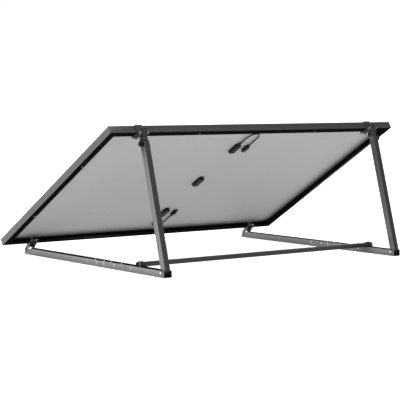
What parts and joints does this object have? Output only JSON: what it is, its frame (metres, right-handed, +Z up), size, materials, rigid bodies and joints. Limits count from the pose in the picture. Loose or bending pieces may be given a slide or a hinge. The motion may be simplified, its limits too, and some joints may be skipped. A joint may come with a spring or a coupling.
{
  "type": "solar panel on a tilt stand",
  "caption": "Framed solar panel on a free-standing tilt stand, with telescoping rear legs, clamps on the frame and junction boxes with leads behind.",
  "frame": {"origin": "on the ground, at the middle of the outline", "axes": "+X along the panel's long side, +Y from its lower to its raised edge, +Z up"},
  "size_m": [1.722, 1.209, 0.6659],
  "materials": {
    "black_frame": "black anodised, satin",
    "solar_glass": "clear, lightly textured",
    "film": "clear film",
    "silicon": "dark blue-black, anti-reflective",
    "tinned_copper": "tinned, matt",
    "backsheet": "grey-white film, matt",
    "seal": "foam tape",
    "box_plastic": "black moulded",
    "diode": "black epoxy",
    "cable": "black jacket, satin",
    "connector_plastic": "black moulded",
    "clamp_paint": "dark grey powder coat",
    "foot_paint": "grey powder coat",
    "steel": "stainless, plain",
    "rail_alu": "mill finish",
    "leg_alu": "mill finish",
    "rod_paint": "dark grey powder coat",
    "bar_paint": "dark grey powder coat",
    "black_plastic": "black moulded",
    "nylon": "natural nylon"
  },
  "bodies": {
    "base": {"rail_left": "rail_alu", "rail_right": "rail_alu", "crossbar": "bar_paint", "crossbar_caps": "black_plastic", "bar_straps": "bar_paint", "strap_screws": "steel", "rail_bolts": "steel", "rail_nuts": "steel", "foot_spacers": "nylon"},
    "panel": {"frame_top": "black_frame", "frame_bottom": "black_frame", "frame_left": "black_frame", "frame_right": "black_frame", "corner_keys": "steel", "glass": "solar_glass", "front_encapsulant": "film", "solar_cells": "silicon", "bus_ribbons": "tinned_copper", "rear_encapsulant": "film", "backsheet": "backsheet", "edge_seal": "seal", "junction_box_upper": "box_plastic", "junction_box_middle": "box_plastic", "junction_box_lower": "box_plastic", "junction_lids": "box_plastic", "bypass_diodes": "diode", "terminal_clips": "tinned_copper", "cable_gland_upper": "box_plastic", "cable_gland_lower": "box_plastic", "lead_upper": "cable", "lead_lower": "cable", "connector_upper": "connector_plastic", "connector_lower": "connector_plastic", "connector_nut_upper": "connector_plastic", "connector_nut_lower": "connector_plastic", "top_clamp_left": "clamp_paint", "top_clamp_right": "clamp_paint", "bottom_clamp_left": "foot_paint", "bottom_clamp_right": "foot_paint", "clamp_jaws": "clamp_paint", "clamp_screws": "steel", "clamp_nuts": "steel", "top_pivot_bolts": "steel", "top_pivot_nuts": "steel", "top_pivot_spacers": "nylon"},
    "leg_left": {"leg_tube_left": "leg_alu", "leg_bush_left": "black_plastic", "knob_bolt_left": "steel"},
    "rod_left": {"leg_rod_left": "rod_paint", "rod_plugs_left": "black_plastic"},
    "knob_turn_left": {"knob_left": "black_plastic"},
    "thumb_turn_left": {"thumb_screw_left": "black_plastic"},
    "leg_right": {"leg_tube_right": "leg_alu", "leg_bush_right": "black_plastic", "knob_bolt_right": "steel"},
    "rod_right": {"leg_rod_right": "rod_paint", "rod_plugs_right": "black_plastic"},
    "knob_turn_right": {"knob_right": "black_plastic"},
    "thumb_turn_right": {"thumb_screw_right": "black_plastic"}
  },
  "joints": [
    {"name": "panel_tilt", "type": "hinge", "parent": "base", "child": "panel", "pos_m": [0, -0.594, 0.022], "axis": [1, 0, 0], "range_deg": [0, 14]},
    {"name": "leg_swing_left", "type": "hinge", "parent": "base", "child": "leg_left", "pos_m": [0.7015, 0.583, 0.022], "axis": [1, 0, 0], "range_deg": [0, 7.1]},
    {"name": "leg_extend_left", "type": "slide", "parent": "leg_left", "child": "rod_left", "axis": [0, -0.2706, 0.9627], "range_m": [0, 0.28]},
    {"name": "knob_turn_left", "type": "hinge", "parent": "leg_left", "child": "knob_turn_left", "pos_m": [0.7155, 0.43039, 0.58158], "axis": [1, 0, 0], "range_deg": [0, 360]},
    {"name": "thumb_turn_left", "type": "hinge", "parent": "panel", "child": "thumb_turn_left", "pos_m": [0.6935, 0.39118, 0.59765], "axis": [0, 0.5105, -0.8599], "range_deg": [0, 360]},
    {"name": "leg_swing_right", "type": "hinge", "parent": "base", "child": "leg_right", "pos_m": [-0.7015, 0.583, 0.022], "axis": [1, 0, 0], "range_deg": [0, 7.1]},
    {"name": "leg_extend_right", "type": "slide", "parent": "leg_right", "child": "rod_right", "axis": [0, -0.2706, 0.9627], "range_m": [0, 0.28]},
    {"name": "knob_turn_right", "type": "hinge", "parent": "leg_right", "child": "knob_turn_right", "pos_m": [-0.7155, 0.43039, 0.58158], "axis": [-1, 0, 0], "range_deg": [0, 360]},
    {"name": "thumb_turn_right", "type": "hinge", "parent": "panel", "child": "thumb_turn_right", "pos_m": [-0.7095, 0.39118, 0.59765], "axis": [0, 0.5105, -0.8599], "range_deg": [0, 360]}
  ],
  "couplings": [
    {"joint": "leg_swing_left", "follows": "panel_tilt", "ratio": 0.498},
    {"joint": "leg_extend_left", "follows": "panel_tilt", "m_per_rad": 1.117},
    {"joint": "leg_swing_right", "follows": "panel_tilt", "ratio": 0.498},
    {"joint": "leg_extend_right", "follows": "panel_tilt", "m_per_rad": 1.117}
  ]
}
